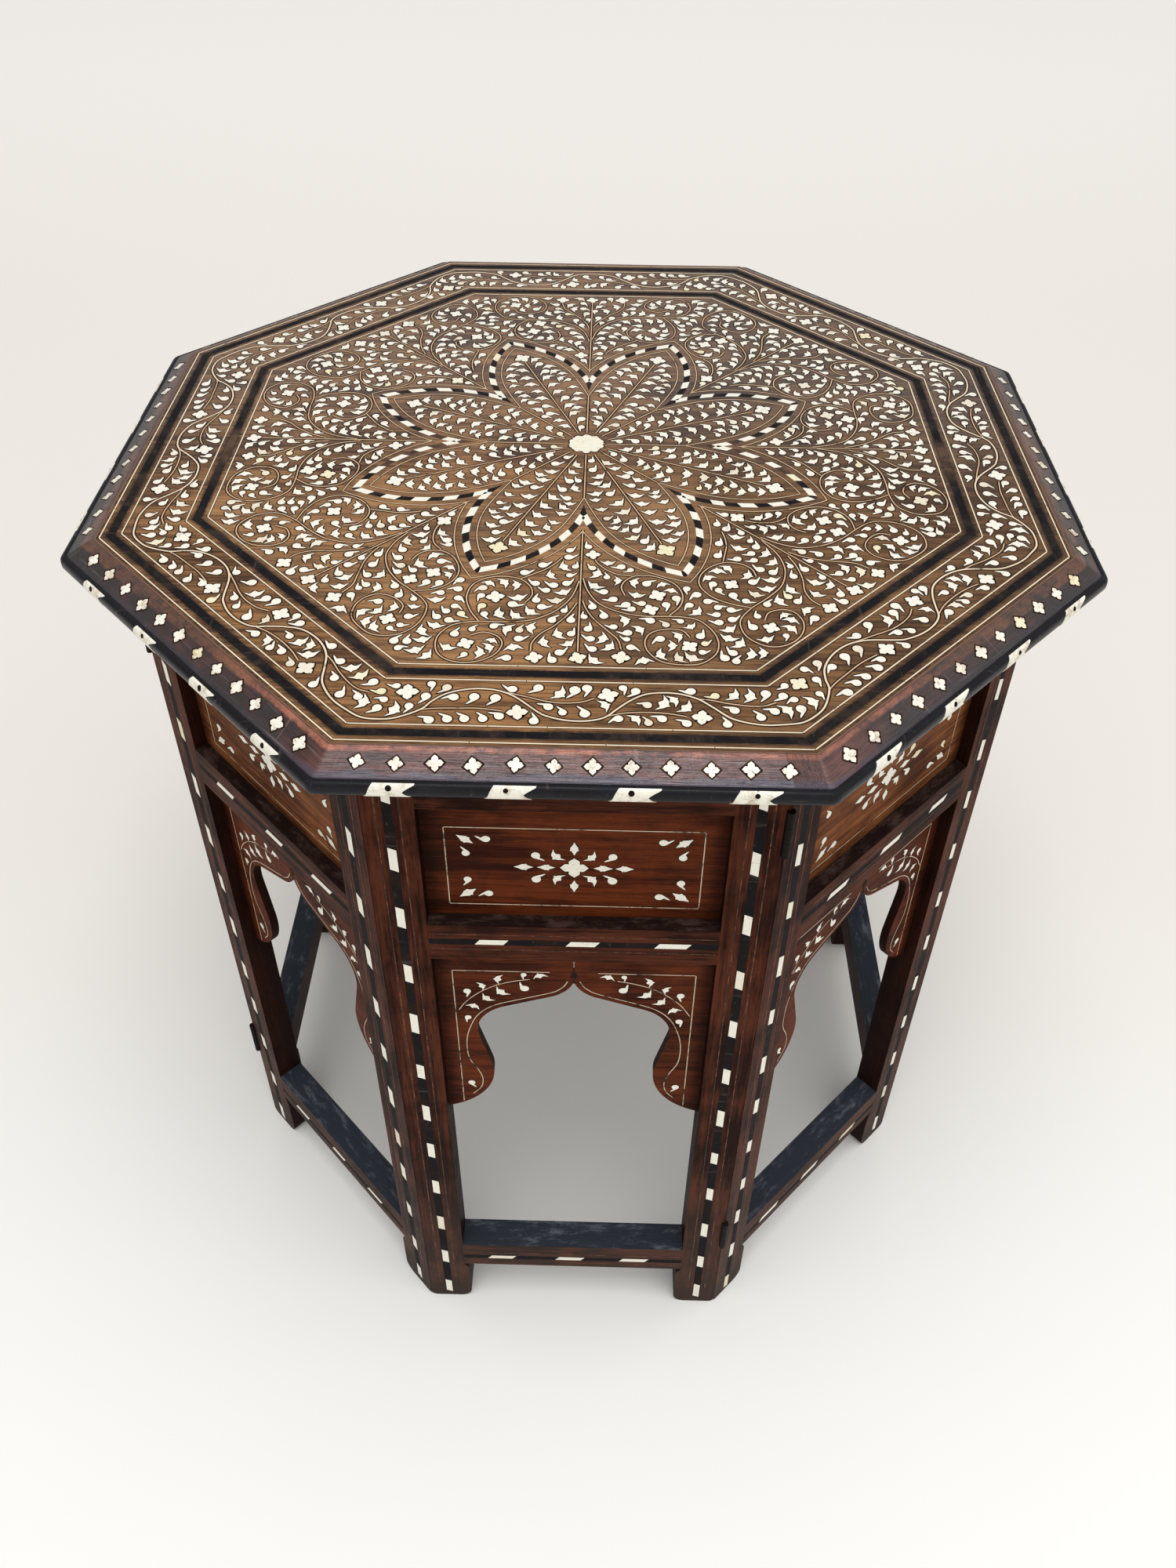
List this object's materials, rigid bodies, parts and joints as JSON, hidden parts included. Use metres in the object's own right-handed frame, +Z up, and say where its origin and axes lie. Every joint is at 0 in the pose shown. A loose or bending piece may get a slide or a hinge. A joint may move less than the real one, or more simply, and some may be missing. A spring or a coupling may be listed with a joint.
{
  "type": "octagonal side table",
  "caption": "Octagonal inlaid side table: a lift-off bevelled top on a folding base of hinged, arched wooden frames.",
  "frame": {"origin": "on the floor at the middle of the base", "axes": "+Z up, -Y out of the front side, +X to the right of someone who faces the front"},
  "size_m": [0.6, 0.6, 0.612],
  "materials": {
    "top_wood": "worn satin, warm mid brown",
    "moulding_wood": "worn satin, dark red brown",
    "frame_wood": "satin, red brown",
    "board_wood": "satin, red brown",
    "batten_wood": "plain unpolished wood",
    "ebony": "near black, waxed",
    "bone": "off white, satin",
    "iron": "dull dark iron"
  },
  "bodies": {
    "front_frame": {"front_posts": "frame_wood", "front_rails": "frame_wood", "front_field_board": "board_wood", "front_arch_boards": "board_wood", "front_ebony_lines": "ebony", "front_hinges": "iron", "locating_pegs": "batten_wood"},
    "front_right_frame": {"front_right_posts": "frame_wood", "front_right_rails": "frame_wood", "front_right_field_board": "board_wood", "front_right_arch_boards": "board_wood", "front_right_ebony_lines": "ebony", "front_right_hinges": "iron"},
    "right_frame": {"right_posts": "frame_wood", "right_rails": "frame_wood", "right_field_board": "board_wood", "right_arch_boards": "board_wood", "right_ebony_lines": "ebony", "right_hinges": "iron"},
    "back_right_frame": {"back_right_posts": "frame_wood", "back_right_rails": "frame_wood", "back_right_field_board": "board_wood", "back_right_arch_boards": "board_wood", "back_right_ebony_lines": "ebony", "back_right_hinges": "iron"},
    "back_frame": {"back_posts": "frame_wood", "back_rails": "frame_wood", "back_field_board": "board_wood", "back_arch_boards": "board_wood", "back_ebony_lines": "ebony", "back_hinges": "iron"},
    "back_left_frame": {"back_left_posts": "frame_wood", "back_left_rails": "frame_wood", "back_left_field_board": "board_wood", "back_left_arch_boards": "board_wood", "back_left_ebony_lines": "ebony", "back_left_hinges": "iron"},
    "left_frame": {"left_posts": "frame_wood", "left_rails": "frame_wood", "left_field_board": "board_wood", "left_arch_boards": "board_wood", "left_ebony_lines": "ebony", "left_hinges": "iron"},
    "front_left_frame": {"front_left_posts": "frame_wood", "front_left_rails": "frame_wood", "front_left_field_board": "board_wood", "front_left_arch_boards": "board_wood", "front_left_ebony_lines": "ebony", "front_left_hinges": "iron"},
    "top": {"top_boards": "top_wood", "edge_mouldings": "moulding_wood", "ebony_nosing": "ebony", "bone_tabs": "bone", "tab_nails": "iron", "ebony_bands": "ebony", "petal_band": "ebony", "centre_rosette": "bone", "bevel_lozenges": "bone", "cross_battens": "batten_wood", "batten_screws": "iron"}
  },
  "joints": [
    {"name": "top_lift", "type": "slide", "parent": "front_frame", "child": "top", "axis": [0, 0, 1], "range_m": [0, 0.25]},
    {"name": "fold_front_left", "type": "hinge", "parent": "front_frame", "child": "front_left_frame", "pos_m": [-0.10105, -0.24395, 0.3], "axis": [0, 0, -1], "range_deg": [0, 126]},
    {"name": "fold_front_right", "type": "hinge", "parent": "front_frame", "child": "front_right_frame", "pos_m": [0.11062, -0.26705, 0.3], "axis": [0, 0, -1], "range_deg": [0, 42]},
    {"name": "fold_right", "type": "hinge", "parent": "front_right_frame", "child": "right_frame", "pos_m": [0.24395, -0.10105, 0.3], "axis": [0, 0, 1], "range_deg": [0, 126]},
    {"name": "fold_back_right", "type": "hinge", "parent": "right_frame", "child": "back_right_frame", "pos_m": [0.26705, 0.11062, 0.3], "axis": [0, 0, -1], "range_deg": [0, 210]},
    {"name": "fold_back", "type": "hinge", "parent": "back_right_frame", "child": "back_frame", "pos_m": [0.10105, 0.24395, 0.3], "axis": [0, 0, 1], "range_deg": [0, 126]},
    {"name": "fold_left", "type": "hinge", "parent": "front_left_frame", "child": "left_frame", "pos_m": [-0.26705, -0.11062, 0.3], "axis": [0, 0, 1], "range_deg": [0, 210]},
    {"name": "fold_back_left", "type": "hinge", "parent": "left_frame", "child": "back_left_frame", "pos_m": [-0.24395, 0.10105, 0.3], "axis": [0, 0, -1], "range_deg": [0, 126]}
  ],
  "couplings": [
    {"joint": "fold_front_right", "follows": "fold_front_left", "ratio": 0.33333},
    {"joint": "fold_right", "follows": "fold_front_left", "ratio": 1},
    {"joint": "fold_back_right", "follows": "fold_front_left", "ratio": 1.6667},
    {"joint": "fold_back", "follows": "fold_front_left", "ratio": 1},
    {"joint": "fold_left", "follows": "fold_front_left", "ratio": 1.6667},
    {"joint": "fold_back_left", "follows": "fold_front_left", "ratio": 1}
  ]
}
